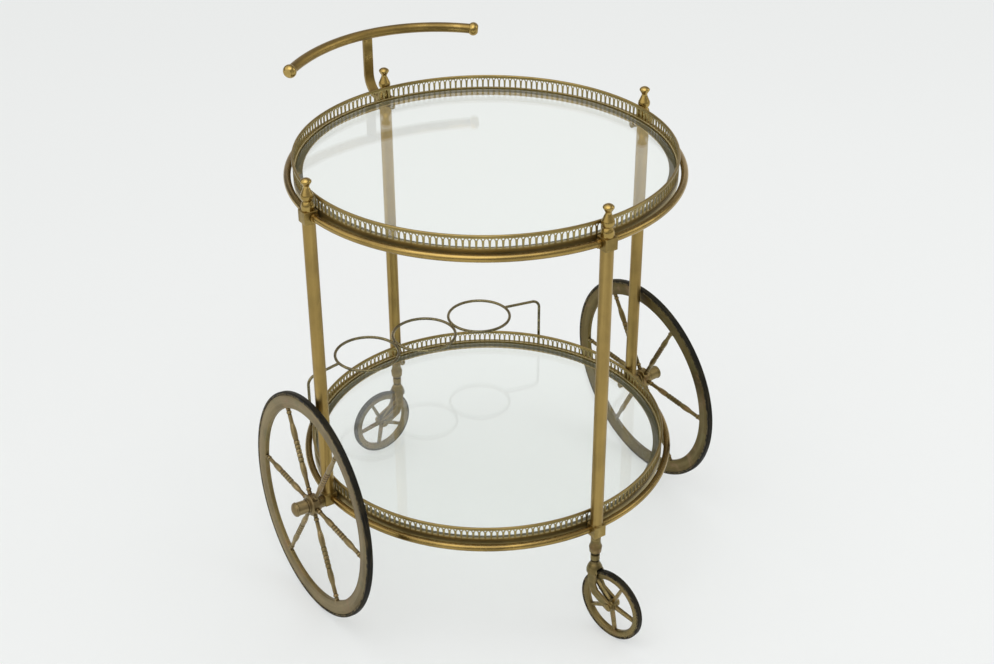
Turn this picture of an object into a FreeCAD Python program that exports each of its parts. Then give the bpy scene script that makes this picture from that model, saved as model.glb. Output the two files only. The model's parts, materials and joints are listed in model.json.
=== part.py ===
"""Round two-tier brass bar cart, in millimetres.

+X runs along the wheel axle, +Y towards the push handle, +Z up, and the floor is z = 0.
The cart is drawn about the axis of its round shelves and moved along Y at the end, so that the
origin lies under the middle of its box.
"""
import FreeCAD, Part
import math
import os

V = FreeCAD.Vector
UP = V(0, 0, 1)
AXIS = V(0, 0, 0)

# Clearances
FIT = 0.05            # between pieces that are seated in each other
RUN_FIT = 0.06        # radial, round a turning pin or axle
RUN_END = 0.4         # along a turning pin or axle
SWIVEL_GAP = 0.3      # between a caster's stem and its fork
GLASS_PLAY = 0.8      # round the edge of a glass disc

# Posts and shelves
POST_CIRCLE_R = 245.5  # from the cart's axis to each post's axis
POST_R = 8.0
POST_WALL = 1.5
POST_SPIGOT = 9.0      # length of each block's spigot in the post's end
SHELF_SPACING = 402.5  # from the lower ring rods to the upper ones
ROD_R = 4.5            # ring rods
ROD_INSET = 2.7        # ring rods run this much inside the posts' circle
ROD_END = 4.6          # from the post's axis to the end of a rod in its block
COLLAR_R = 5.7         # collars on the upper rods, against the blocks
COLLAR_LENGTH = 3.5

# Cast blocks
BLOCK_WIDTH = 17.0     # along the ring rods
BLOCK_DEPTH = 18.0     # towards the cart's axis
BLOCK_RISE = 7.6       # above the ring rods' centre
UPPER_BLOCK_DROP = 8.2
LOWER_BLOCK_DROP = 9.3
BLOCK_EDGE = 1.2       # rounding of the upright edges
BLOCK_RIM = 0.8        # rounding of the top and bottom edges
FLANGE_R = 8.4         # round flange of a lower block, under the post
FLANGE_HEIGHT = 1.8

# Trays, heights from the ring rods' centre
GALLERY_GAP = 1.0      # between the blocks and the gallery
GALLERY_WALL = 1.2
GALLERY_FOOT = -6.5
GALLERY_HEAD = 21.8
WINDOW_SILL = 8.0
WINDOW_HEAD = 20.4
WINDOWS_PER_QUARTER = 50
PILLAR_WIDTH = 2.0     # at the sill
PILLAR_FLARE = 0.9     # narrowing of a window from sill to arch
ARCH_RISE = 4.2        # height of a window's pointed arch
ARCH_HALF = 0.68       # half way up each side of the arch: share of its half width
ARCH_FULL = 0.64       # and share of its height
EYELET_R = 1.3         # small round holes above the pillars
EYELET_Z = 19.3
RAIL_HEIGHT = 3.0
RAIL_WIDTH = 3.4
RAIL_FLATS = 8         # narrow flats that round the rail's top
GLASS_THICK = 5.0
GLASS_TOP = 6.5
GLASS_EDGE = 0.6
LEDGE_THICK = 1.5
LEDGE_WIDTH = 9.0
TRAY_WALL = 1.5
TRAY_SCREW_R = 1.75
TRAY_SCREW_Z = -4.6
TRAY_SCREW_BITE = 4.2  # length of screw past the block's inner face
TRAY_NUT_R = 4.0
TRAY_NUT_LENGTH = 8.5
TRAY_NUT_CROWN = 1.6   # height of the nut's cone
TRAY_NUT_BITE = 6.0    # length of screw in its nut

# Finials
FINIAL_HEIGHT = 39.9
FINIAL_FOOT_R = 7.9
FINIAL_SHOULDER_R = 7.3    # half way up the domed foot
FINIAL_GROOVE_R = 5.6  # between the foot and the bulb
FINIAL_BULB_R = 7.8
FINIAL_SLOPE_R = 6.9   # where the bulb turns into a straight slope
FINIAL_NECK_R = 3.7
FINIAL_KNOB_R = 6.7
FINIAL_LIP = 0.6       # rounding of the knob's edge
FINIAL_BRIM = 0.06     # heights of the turnings, as shares of the whole
FINIAL_SHOULDER = 0.19
FINIAL_FOOT = 0.275
FINIAL_GROOVE = 0.295
FINIAL_BULB = 0.42
FINIAL_SLOPE = 0.52
FINIAL_NECK = 0.705
FINIAL_NECK_TOP = 0.75
FINIAL_KNOB_FOOT = 0.855
FINIAL_KNOB = 0.895
FINIAL_KNOB_TOP = 0.93
SPIGOT_R = 3.0
SPIGOT_LENGTH = 7.0

# Handle
HANDLE_REACH = 42.0    # from the rear post's axis out to the bar
HANDLE_RISE = 81.0     # from the upper ring rods up to the bar
HANDLE_BOW_R = 231.7
HANDLE_HALF_ANGLE = 36.3
HANDLE_DROOP = 8.4     # degrees that the bow's plane falls towards its ends
HANDLE_BAR_R = 6.5
BALL_R = 9.0
BALL_LENGTH = 13.0
BALL_SEAT = 4.0
BALL_END = 0.55        # radius of the ball's flat ends, as a share of its own
STRAP_WIDTH = 13.0
STRAP_THICK = 4.0
STRAP_BEND_R = 26.0
STRAP_SADDLE = 0.6     # the saddle's horns reach up to this share of the bar's radius below its axis
STRAP_Z = 1.0          # the strap's level run, from the ring rods' centre
STRAP_BOSS = 7.0       # length of the block's boss round the strap's end
STRAP_BOSS_WALL = 1.6
STRAP_SEAT = 3.0       # depth of the strap's end in the block itself
STRAP_SCREW_R = 1.75

# Bottle holder
WIRE_R = 2.0
BOTTLE_RING_R = 44.2   # to the wire's centre
BOTTLE_RINGS = 3
BOTTLE_ROW_Y = 162.0
BOTTLE_RISE = 78.8     # above the lower ring rods
BOTTLE_FOOT_ANGLE = 38.4  # of each leg's foot on the ring rods, from the axle line
BOTTLE_LEG_BEND = 11.0
BRAZE_R = 2.7

# Large wheels
WHEEL_R = 150.0
WHEEL_CAMBER = 3.3     # degrees that a wheel's top leans in towards its post
AXLE_DROP = 3.5        # of an upright wheel's middle below the lower ring rods' centre
TYRE_DEPTH = 4.0
TYRE_WIDTH = 8.0
TYRE_ROUND = 2.0
RIM_DEPTH = 18.0
RIM_WIDTH = 7.6        # at the tyre
RIM_FLAT = 5.0         # depth of that part
RIM_EDGE_WIDTH = 6.0   # at the inner edge
RIM_ROUND = 0.9
SPOKES = 6
SPOKE_TENON_R = 1.6
SPOKE_TENON = 5.0
SPOKE_SINK = 1.2       # the spoke's collars are let into the hub and the rim
SPOKE_COLLAR_R = 2.9
SPOKE_COLLAR = 4.0     # lengths of the turnings along the spoke, from its ends inwards
SPOKE_COVE_R = 2.4
SPOKE_COVE = 1.0
SPOKE_BEAD_R = 3.4
SPOKE_BEAD = 4.5
SPOKE_THROAT = 2.0
SPOKE_WAIST_R = 2.7
SPOKE_WAIST = 10.5
SPOKE_BELLY_R = 3.9
SPOKE_NECK_R = 3.2
SPOKE_NECK = 0.9
SPOKE_REED_R = 3.75    # of the reeds round its middle
SPOKE_REED = 5.6
SPOKE_SIDE_REEDS = 2   # on each side of the middle one
HUB_LENGTH = 18.0
HUB_R = 14.0
HUB_END_R = 10.0
HUB_BARREL = 11.0
HUB_END = 2.1          # length of the hub's narrow ends
HUB_CHAMFER = 1.0
AXLE_R = 4.5
AXLE_COLLAR_R = 8.0
AXLE_COLLAR = 5.1
AXLE_SEAT = 10.0       # depth of the axle in its block
AXLE_SEAT_R = 3.2
AXLE_THREAD_R = 3.0
AXLE_TAIL = 1.5        # thread that shows past the nut
AXLE_NUT_R = 6.0
AXLE_NUT_LENGTH = 5.0
CAP_R = 8.8
CAP_WALL = 1.5
CAP_LENGTH = 20.0
CAP_DOME = 3.2
CAP_BEAD = 2.6         # width of the bead near the cap's end
CAP_BEAD_RISE = 0.7
CAP_BEAD_SLOPE = 0.6
CAP_LAND = 1.0         # from the bead to the cap's edge

# Casters
CASTER_R = 48.3
CASTER_TRAIL = 30.7
FRONT_TRAIL_ANGLE = -79.0  # the way the fork trails, turned from +X
REAR_TRAIL_ANGLE = 185.0
CASTER_TYRE_DEPTH = 3.2
CASTER_TYRE_WIDTH = 8.0
CASTER_TYRE_ROUND = 1.6
CASTER_RIM_DEPTH = 8.0
CASTER_RIM_WIDTH = 7.4
CASTER_RIM_EDGE = 1.6      # bevel of the rim's inner edges
CASTER_HUB_R = 7.0
CASTER_HUB_LENGTH = 9.6
CASTER_CHAMFER = 0.8
CASTER_SPOKES = 5
CASTER_SPOKE_PHASE = 65.0
CASTER_SPOKE_INNER = 5.0   # width at the hub
CASTER_SPOKE_OUTER = 3.6   # width at the rim
CASTER_SPOKE_THICK = 4.4
CASTER_SPOKE_SINK = 1.0    # the spokes run into the hub and the rim
CASTER_AXLE_R = 3.0
CASTER_HEAD_R = 4.8
CASTER_HEAD = 2.4
CASTER_HEAD_EDGE = 1.0    # straight edge below the head's dome
CROWN_R = 10.5
CROWN_NECK_R = 5.8
CROWN_SHOULDER_R = 8.8 # half way up the crown's bell
CROWN_SHOULDER = 6.4   # height of that below the crown's top
CROWN_WEB = 13.3       # metal over the tyre's room, along the swivel axis
CROWN_HEIGHT = 15.5
CROWN_SKIRT = 3.5      # straight side at the crown's foot
CROWN_LAND = 1.6       # straight neck at the crown's top
CROWN_CLEAR = 2.0      # room round the tyre
FORK_LEG = 3.2
LEG_TOP_R = 6.4        # half widths of a leg from the crown down
LEG_WAIST_R = 5.2
LEG_KNEE_R = 5.8
LEG_BOSS_R = 6.2
LEG_TOP_REACH = 1.8    # from the swivel axis
LEG_WAIST_REACH = 3.0
LEG_KNEE_REACH = 8.0
LEG_WAIST_DROP = 17.0  # below the crown's foot
LEG_KNEE_RISE = 11.2   # above the axle
KINGPIN_R = 3.0
KINGPIN_BITE = 22.0    # length of kingpin inside the stem
KINGPIN_SEAT = 9.5     # and inside the fork's crown
STEM_SPIGOT_R = 3.5
STEM_SPIGOT = 8.0
STEM_LAND_R = 5.6
STEM_GROOVE_R = 4.9
STEM_RING_R = 5.9
STEM_CUP_FOOT_R = 6.2
STEM_CUP_LOW_R = 7.5
STEM_CUP_R = 8.3
STEM_COLLAR_R = 6.4
STEM_LAND = 0.03       # heights of the turnings, as shares of the stem's own
STEM_GROOVE = 0.055
STEM_RING = 0.085
STEM_RING_TOP = 0.26
STEM_COVE = 0.295
STEM_CUP_FOOT = 0.345
STEM_CUP_LOW = 0.375
STEM_CUP = 0.56
STEM_COLLAR = 0.70

# Places worked out from the sizes above
LOWER_Z = WHEEL_R + AXLE_DROP
UPPER_Z = LOWER_Z + SHELF_SPACING
ROD_CIRCLE_R = POST_CIRCLE_R - ROD_INSET
BLOCK_INNER = POST_CIRCLE_R - BLOCK_DEPTH / 2
BLOCK_OUTER = POST_CIRCLE_R + BLOCK_DEPTH / 2
GALLERY_OUTER = BLOCK_INNER - GALLERY_GAP
GALLERY_INNER = GALLERY_OUTER - GALLERY_WALL
TRAY_OUTER = GALLERY_INNER - FIT
TRAY_INNER = TRAY_OUTER - TRAY_WALL
GLASS_R = TRAY_INNER - GLASS_PLAY
LEDGE_TOP = GLASS_TOP - GLASS_THICK
HANDLE_Y = POST_CIRCLE_R + HANDLE_REACH
HANDLE_Z = UPPER_Z + HANDLE_RISE
BOTTLE_Z = LOWER_Z + BOTTLE_RISE
RIM_OUTER = WHEEL_R - TYRE_DEPTH
RIM_INNER = RIM_OUTER - RIM_DEPTH
HUB_START = BLOCK_OUTER + AXLE_COLLAR + RUN_END
AXLE_NUT_START = HUB_START + HUB_LENGTH + RUN_END
AXLE_NUT_END = AXLE_NUT_START + AXLE_NUT_LENGTH
CAMBER = math.radians(WHEEL_CAMBER)
WHEEL_X = HUB_START + HUB_LENGTH / 2
WHEEL_Z = ((WHEEL_R - TYRE_ROUND) * math.cos(CAMBER) + (TYRE_WIDTH / 2 - TYRE_ROUND) * math.sin(CAMBER)
           + TYRE_ROUND)
WHEEL_ROOM = CASTER_R + CROWN_CLEAR
CROWN_TOP = CASTER_R + math.sqrt(WHEEL_ROOM ** 2 - CASTER_TRAIL ** 2) + CROWN_WEB
CROWN_FOOT = CROWN_TOP - CROWN_HEIGHT
STEM_FOOT = CROWN_TOP + SWIVEL_GAP
STEM_HEAD = LOWER_Z - LOWER_BLOCK_DROP
FORK_INSIDE = CASTER_HUB_LENGTH / 2 + RUN_END
FORK_OUTSIDE = FORK_INSIDE + FORK_LEG
BOTTLE_PITCH = 2 * (BOTTLE_RING_R + WIRE_R)
BOTTLE_END_X = (BOTTLE_RINGS - 1) / 2 * BOTTLE_PITCH   # the last ring's middle
STRAP_LEVEL = UPPER_Z + STRAP_Z
SPIGOT_FIT_R = POST_R - POST_WALL - FIT

# Post names and their angles about the cart's axis
POST_ANGLES = {"right": 0, "rear": 90, "left": 180, "front": 270}


def turned(points, base=AXIS, axis=UP):
    """Solid of revolution about base and axis. Points are (radius, height), and a point with four
    values is an arc through its first pair to its second."""
    edges = []
    here = V(points[0][0], 0, points[0][1])
    for point in points[1:]:
        there = V(point[-2], 0, point[-1])
        if len(point) == 4:
            edges.append(Part.Arc(here, V(point[0], 0, point[1]), there).toShape())
        else:
            edges.append(Part.LineSegment(here, there).toShape())
        here = there
    first = V(points[0][0], 0, points[0][1])
    if (here - first).Length > 1e-6:
        edges.append(Part.LineSegment(here, first).toShape())
    solid = Part.Face(Part.Wire(edges)).revolve(AXIS, UP, 360)
    if solid.ShapeType != "Solid":
        solid = Part.Solid(solid)
    solid.Placement = FreeCAD.Placement(base, FreeCAD.Rotation(UP, axis))
    return solid


def dome(radius, base, top):
    """Arc of a spherical cap for turned(), from the rim at base to the axis at top."""
    rise = top - base
    ball = (radius ** 2 + rise ** 2) / (2 * rise)
    half = math.asin(radius / abs(ball)) / 2
    return (abs(ball) * math.sin(half), top - ball * (1 - math.cos(half)), 0, top)


def ring(inner, outer, low, high):
    """Plain ring about the cart's axis."""
    return turned([(inner, low), (outer, low), (outer, high), (inner, high)])


def swung(shape, degrees):
    """Copy of a shape, turned about the cart's axis."""
    copy = shape.copy()
    copy.rotate(AXIS, UP, degrees)
    return copy


def moved(shape, x=0.0, y=0.0, z=0.0):
    """Copy of a shape, moved."""
    copy = shape.copy()
    copy.translate(V(x, y, z))
    return copy


def box(size, centre):
    """Box of a size about its centre."""
    return Part.makeBox(size[0], size[1], size[2], V(*centre) - V(*size) * 0.5)


def rod(radius, start, end):
    """Round bar from start to end."""
    return Part.makeCylinder(radius, (end - start).Length, start, end - start)


def rod_arc(radius, start, end):
    """Piece of a ring rod in the first quarter, between two angles."""
    arc = Part.makeTorus(ROD_CIRCLE_R, radius, AXIS, UP, -180, 180, end - start)
    return swung(arc, start)


def ring_rods(z, grow=0.0):
    """The four ring rods of one shelf, thickened by grow."""
    start = math.degrees(math.asin(ROD_END / ROD_CIRCLE_R))
    arc = rod_arc(ROD_R + grow, start, 90 - start)
    return [moved(swung(arc, quarter * 90), z=z) for quarter in range(4)]


def collared_rods(z):
    """Ring rods with a collar against each block."""
    start = math.degrees(math.asin((BLOCK_WIDTH / 2 + FIT) / (ROD_CIRCLE_R - COLLAR_R)))
    end = start + math.degrees(COLLAR_LENGTH / ROD_CIRCLE_R)
    collars = [rod_arc(COLLAR_R, start, end), rod_arc(COLLAR_R, 90 - end, 90 - start)]
    rods = ring_rods(z)
    for quarter in range(4):
        pair = [moved(swung(collar, quarter * 90), z=z) for collar in collars]
        rods[quarter] = rods[quarter].fuse(pair)
    return rods


def gallery_quarter():
    """One bent length of pierced gallery, with its windows and eyelets, about the ring rods' level."""
    profile = [V(GALLERY_INNER, 0, GALLERY_FOOT), V(GALLERY_OUTER, 0, GALLERY_FOOT),
               V(GALLERY_OUTER, 0, GALLERY_HEAD), V(GALLERY_INNER, 0, GALLERY_HEAD)]
    strip = Part.Face(Part.makePolygon(profile + profile[:1])).revolve(AXIS, UP, 90)
    pitch = 90.0 / WINDOWS_PER_QUARTER
    pitch_length = math.radians(pitch) * GALLERY_OUTER
    sill = (pitch_length - PILLAR_WIDTH) / 2
    arch = sill - PILLAR_FLARE / 2
    spring = WINDOW_HEAD - ARCH_RISE
    start = GALLERY_INNER - GALLERY_WALL
    reach = V(3 * GALLERY_WALL, 0, 0)
    half_up = spring + ARCH_RISE * ARCH_FULL
    tip = V(start, 0, WINDOW_HEAD)
    edges = [Part.LineSegment(V(start, -arch, spring), V(start, -sill, WINDOW_SILL)),
             Part.LineSegment(V(start, -sill, WINDOW_SILL), V(start, sill, WINDOW_SILL)),
             Part.LineSegment(V(start, sill, WINDOW_SILL), V(start, arch, spring)),
             Part.Arc(V(start, arch, spring), V(start, arch * ARCH_HALF, half_up), tip),
             Part.Arc(tip, V(start, -arch * ARCH_HALF, half_up), V(start, -arch, spring))]
    window = Part.Face(Part.Wire([edge.toShape() for edge in edges])).extrude(reach)
    eyelet = rod(EYELET_R, V(start, 0, EYELET_Z), V(start, 0, EYELET_Z) + reach)
    cutters = [swung(window, (step + 0.5) * pitch) for step in range(WINDOWS_PER_QUARTER)]
    cutters += [swung(eyelet, step * pitch) for step in range(1, WINDOWS_PER_QUARTER)]
    screw = rod(TRAY_SCREW_R + FIT, V(start, 0, TRAY_SCREW_Z), V(start, 0, TRAY_SCREW_Z) + reach)
    cutters += [screw, swung(screw, 90)]
    return strip.cut(cutters)


def screw_holes(z):
    """Four radial bores for the tray screws."""
    hole = rod(TRAY_SCREW_R + FIT, V(TRAY_INNER - LEDGE_WIDTH, 0, z + TRAY_SCREW_Z),
               V(BLOCK_INNER + TRAY_SCREW_BITE, 0, z + TRAY_SCREW_Z))
    return [swung(hole, quarter * 90) for quarter in range(4)]


def tray_screw(z):
    """Tray screw of the +X post."""
    level = z + TRAY_SCREW_Z
    return rod(TRAY_SCREW_R, V(TRAY_INNER - FIT - TRAY_NUT_BITE, 0, level),
               V(BLOCK_INNER + TRAY_SCREW_BITE, 0, level))


def tray_nut(z):
    """Round nut on the +X post's tray screw, under the glass."""
    level = z + TRAY_SCREW_Z
    start = TRAY_INNER - FIT
    nut = turned([(0, 0), (TRAY_NUT_R, 0), (TRAY_NUT_R, TRAY_NUT_LENGTH - TRAY_NUT_CROWN),
                  (0, TRAY_NUT_LENGTH)], V(start, 0, level), V(-1, 0, 0))
    return nut.cut(rod(TRAY_SCREW_R + FIT, V(TRAY_INNER, 0, level),
                       V(start - TRAY_NUT_BITE - FIT, 0, level)))


def tray_pieces(name, z):
    """Glass, gallery, rail, tray ring and ring rods of one shelf."""
    glass = ring_glass(z)
    quarter = gallery_quarter()
    gallery = [moved(swung(quarter, step * 90), z=z) for step in range(4)]
    middle = (GALLERY_INNER + GALLERY_OUTER) / 2
    foot = z + GALLERY_HEAD
    half = RAIL_WIDTH / 2
    spring = foot + RAIL_HEIGHT - half
    angles = [math.pi * step / RAIL_FLATS for step in range(RAIL_FLATS + 1)]
    bead = [(middle + half * math.cos(a), spring + half * math.sin(a)) for a in angles]
    rail = turned([(middle - half, foot), (middle + half, foot)] + bead)
    tray = ring(TRAY_INNER, TRAY_OUTER, z + GALLERY_FOOT, z + WINDOW_SILL)
    ledge_top = z + LEDGE_TOP
    ledge = ring(TRAY_INNER - LEDGE_WIDTH, TRAY_INNER, ledge_top - LEDGE_THICK, ledge_top)
    tray = tray.fuse(ledge).removeSplitter().cut(screw_holes(z))
    rods = collared_rods(z) if name == "upper" else ring_rods(z)
    return {name + "_glass": [glass], name + "_gallery": gallery, name + "_rail": [rail],
            name + "_tray_ring": [tray], name + "_ring_rods": rods}


def ring_glass(z):
    """Glass disc with ground edges."""
    top = z + GLASS_TOP
    foot = z + LEDGE_TOP
    return turned([(0, foot), (GLASS_R - GLASS_EDGE, foot), (GLASS_R, foot + GLASS_EDGE),
                   (GLASS_R, top - GLASS_EDGE), (GLASS_R - GLASS_EDGE, top), (0, top)])


def raw_block(z, drop):
    """Cast block of the +X post, before its bores."""
    height = BLOCK_RISE + drop
    centre = (POST_CIRCLE_R, 0, z + (BLOCK_RISE - drop) / 2)
    block = box((BLOCK_DEPTH, BLOCK_WIDTH, height), centre)
    upright = [e for e in block.Edges if abs(e.BoundBox.ZLength - height) < 1e-6]
    block = block.makeFillet(BLOCK_EDGE, upright)
    ends = [e for e in block.Edges if e.BoundBox.ZLength < 1e-6]
    return block.makeFillet(BLOCK_RIM, ends)


def upper_block(name):
    """Block with a spigot for the post below and the finial's bore above, and seats for the ring rods
    and the tray screw. The rear one has a boss for the handle's strap. It is made on the +X post and
    swung into place."""
    block = raw_block(UPPER_Z, UPPER_BLOCK_DROP)
    foot = UPPER_Z - UPPER_BLOCK_DROP
    top = UPPER_Z + BLOCK_RISE
    spigot = rod(SPIGOT_FIT_R, V(POST_CIRCLE_R, 0, foot - POST_SPIGOT), V(POST_CIRCLE_R, 0, UPPER_Z))
    block = block.fuse(spigot)
    if name == "rear":
        boss = box((STRAP_BOSS + BLOCK_EDGE, STRAP_WIDTH + 2 * STRAP_BOSS_WALL,
                    STRAP_THICK + 2 * STRAP_BOSS_WALL),
                   (BLOCK_OUTER + (STRAP_BOSS - BLOCK_EDGE) / 2, 0, STRAP_LEVEL))
        block = block.fuse(boss)
    cuts = [rod(SPIGOT_R + FIT, V(POST_CIRCLE_R, 0, top - SPIGOT_LENGTH - FIT), V(POST_CIRCLE_R, 0, top))]
    cuts += ring_rods(UPPER_Z, FIT) + screw_holes(UPPER_Z)
    block = block.removeSplitter().cut(cuts)
    if name == "rear":
        back = -POST_ANGLES[name]
        block = block.cut([swung(strap_blank(FIT), back), swung(strap_screw(FIT), back)])
    return swung(block, POST_ANGLES[name])


def lower_block(name):
    """Block with a flange and a spigot for the post above, and the bore of the axle or of a stem."""
    top = LOWER_Z + BLOCK_RISE
    seat = top + FLANGE_HEIGHT
    flange = rod(FLANGE_R, V(POST_CIRCLE_R, 0, top - BLOCK_RIM), V(POST_CIRCLE_R, 0, seat))
    spigot = rod(SPIGOT_FIT_R, V(POST_CIRCLE_R, 0, top), V(POST_CIRCLE_R, 0, seat + POST_SPIGOT))
    block = raw_block(LOWER_Z, LOWER_BLOCK_DROP).fuse([flange, spigot]).removeSplitter()
    cuts = ring_rods(LOWER_Z, FIT) + screw_holes(LOWER_Z)
    if name in ("left", "right"):
        cuts.append(stub_axle(FIT))
    else:
        cuts.append(rod(STEM_SPIGOT_R + FIT, V(POST_CIRCLE_R, 0, STEM_HEAD),
                        V(POST_CIRCLE_R, 0, STEM_HEAD + STEM_SPIGOT + FIT)))
    return swung(block.cut(cuts), POST_ANGLES[name])


def post(name):
    """Post tube between the lower block's flange and the upper block."""
    foot = V(POST_CIRCLE_R, 0, LOWER_Z + BLOCK_RISE + FLANGE_HEIGHT)
    top = V(POST_CIRCLE_R, 0, UPPER_Z - UPPER_BLOCK_DROP)
    tube = rod(POST_R, foot, top).cut(rod(POST_R - POST_WALL, foot, top))
    return swung(tube, POST_ANGLES[name])


def finial(name):
    """Turned finial: domed foot, onion bulb, neck and mushroom knob, with a spigot for the block below."""
    height = FINIAL_HEIGHT
    lip = FINIAL_KNOB_R - FINIAL_LIP
    profile = [(0, -SPIGOT_LENGTH), (SPIGOT_R, -SPIGOT_LENGTH), (SPIGOT_R, 0), (FINIAL_FOOT_R, 0),
               (FINIAL_FOOT_R, height * FINIAL_BRIM),
               (FINIAL_SHOULDER_R, height * FINIAL_SHOULDER, FINIAL_GROOVE_R, height * FINIAL_FOOT),
               (FINIAL_GROOVE_R, height * FINIAL_GROOVE),
               (FINIAL_BULB_R, height * FINIAL_BULB, FINIAL_SLOPE_R, height * FINIAL_SLOPE),
               (FINIAL_NECK_R, height * FINIAL_NECK),
               (FINIAL_NECK_R, height * FINIAL_NECK_TOP),
               (lip, height * FINIAL_KNOB_FOOT),
               (FINIAL_KNOB_R, height * FINIAL_KNOB, lip, height * FINIAL_KNOB_TOP),
               dome(lip, height * FINIAL_KNOB_TOP, height)]
    return swung(turned(profile, V(POST_CIRCLE_R, 0, UPPER_Z + BLOCK_RISE)), POST_ANGLES[name])


def bow_axis():
    """Axis of the handle's bow."""
    droop = math.radians(HANDLE_DROOP)
    return V(0, -math.sin(droop), math.cos(droop))


def bow_out():
    """The way from the bow's centre to the bar's middle."""
    droop = math.radians(HANDLE_DROOP)
    return V(0, math.cos(droop), math.sin(droop))


def bow_centre():
    """Centre of the handle's bow."""
    return V(0, HANDLE_Y, HANDLE_Z) - bow_out() * HANDLE_BOW_R


def bow_end(side):
    """Where the bar ends, and the way that it points there. Side is -1 or 1."""
    angle = math.radians(HANDLE_HALF_ANGLE)
    across = V(side, 0, 0)
    place = bow_centre() + (bow_out() * math.cos(angle) + across * math.sin(angle)) * HANDLE_BOW_R
    return place, across * math.cos(angle) - bow_out() * math.sin(angle)


def handle_bar(grow=0.0):
    """Bowed bar, thickened by grow. Its middle stands over the strap, and its ends fall a little."""
    place, way = bow_end(1)
    section = Part.Face(Part.Wire(Part.Circle(place, way, HANDLE_BAR_R + grow).toShape()))
    return section.revolve(bow_centre(), bow_axis(), 2 * HANDLE_HALF_ANGLE)


def handle_ball(side):
    """Oblate ball on one end of the bar, bored to take it. Side is -1 or 1."""
    place, way = bow_end(side)
    half = BALL_LENGTH / 2
    slim = BALL_R * BALL_END
    ball = turned([(0, -half), (slim, -half), (BALL_R, 0, slim, half), (0, half)],
                  place + way * (half - BALL_SEAT), way)
    return ball.cut(handle_bar(FIT))


def strap_blank(grow=0.0):
    """Bent flat strap, before its top is shaped to the bar, thickened by grow."""
    half = STRAP_THICK / 2 + grow
    start = BLOCK_OUTER - STRAP_SEAT - grow
    bend_y = HANDLE_Y - STRAP_BEND_R
    bend_z = STRAP_LEVEL + STRAP_BEND_R
    inside = STRAP_BEND_R - half
    outside = STRAP_BEND_R + half
    top = HANDLE_Z - HANDLE_BAR_R * STRAP_SADDLE
    slant = math.sqrt(0.5)
    points = [V(0, start, STRAP_LEVEL - half), V(0, bend_y, STRAP_LEVEL - half),
              V(0, bend_y + outside, bend_z), V(0, bend_y + outside, top),
              V(0, bend_y + inside, top), V(0, bend_y + inside, bend_z),
              V(0, bend_y, STRAP_LEVEL + half), V(0, start, STRAP_LEVEL + half)]
    under = V(0, bend_y + outside * slant, bend_z - outside * slant)
    over = V(0, bend_y + inside * slant, bend_z - inside * slant)
    edges = [Part.LineSegment(points[0], points[1]),
             Part.Arc(points[1], under, points[2]),
             Part.LineSegment(points[2], points[3]),
             Part.LineSegment(points[3], points[4]),
             Part.LineSegment(points[4], points[5]),
             Part.Arc(points[5], over, points[6]),
             Part.LineSegment(points[6], points[7]),
             Part.LineSegment(points[7], points[0])]
    width = STRAP_WIDTH + 2 * grow
    strap = Part.Face(Part.Wire([edge.toShape() for edge in edges])).extrude(V(width, 0, 0))
    return moved(strap, x=-width / 2)


def strap_screw(grow=0.0):
    """Screw through the boss and the strap's end, thickened by grow."""
    reach = STRAP_THICK / 2 + STRAP_BOSS_WALL
    middle = BLOCK_OUTER + STRAP_BOSS / 2
    return rod(STRAP_SCREW_R + grow, V(0, middle, STRAP_LEVEL - reach), V(0, middle, STRAP_LEVEL + reach))


def bottle_rings():
    """Row of wire rings, brazed to each other where they touch."""
    places = [step * BOTTLE_PITCH - BOTTLE_END_X for step in range(BOTTLE_RINGS)]
    rings = [Part.makeTorus(BOTTLE_RING_R, WIRE_R, V(x, BOTTLE_ROW_Y, BOTTLE_Z), UP) for x in places]
    joints = [V(x + BOTTLE_PITCH / 2, BOTTLE_ROW_Y, BOTTLE_Z) for x in places[:-1]]
    return rings[0].fuse(rings[1:] + [Part.makeSphere(BRAZE_R, place) for place in joints])


def bottle_leg(side, rings, rods):
    """Bent wire from an end ring, out and down to the ring rods. Side is -1 or 1."""
    angle = math.radians(BOTTLE_FOOT_ANGLE)
    start = V(side * (BOTTLE_END_X + BOTTLE_RING_R), BOTTLE_ROW_Y, BOTTLE_Z)
    corner = V(side * ROD_CIRCLE_R * math.cos(angle), ROD_CIRCLE_R * math.sin(angle), BOTTLE_Z)
    foot = V(corner.x, corner.y, LOWER_Z)
    out = (corner - start).normalize()
    bend_in = corner - out * BOTTLE_LEG_BEND
    bend_out = corner - UP * BOTTLE_LEG_BEND
    centre = bend_in - UP * BOTTLE_LEG_BEND
    middle = centre + (out + UP).normalize() * BOTTLE_LEG_BEND
    path = Part.Wire([Part.LineSegment(start, bend_in).toShape(),
                      Part.Arc(bend_in, middle, bend_out).toShape(),
                      Part.LineSegment(bend_out, foot).toShape()])
    section = Part.Wire(Part.Circle(start, out, WIRE_R).toShape())
    wire = path.makePipeShell([section], True, False)
    return wire.cut([rings] + rods)


def mirrored(points, middle):
    """Mirror image of a profile for turned() past the height middle, from its last point back."""
    image = []
    for here, before in zip(points[:0:-1], points[-2::-1]):
        path = here[:-2] + before[-2:]
        image.append(tuple(2 * middle - value if place % 2 else value for place, value in enumerate(path)))
    return image


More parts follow.
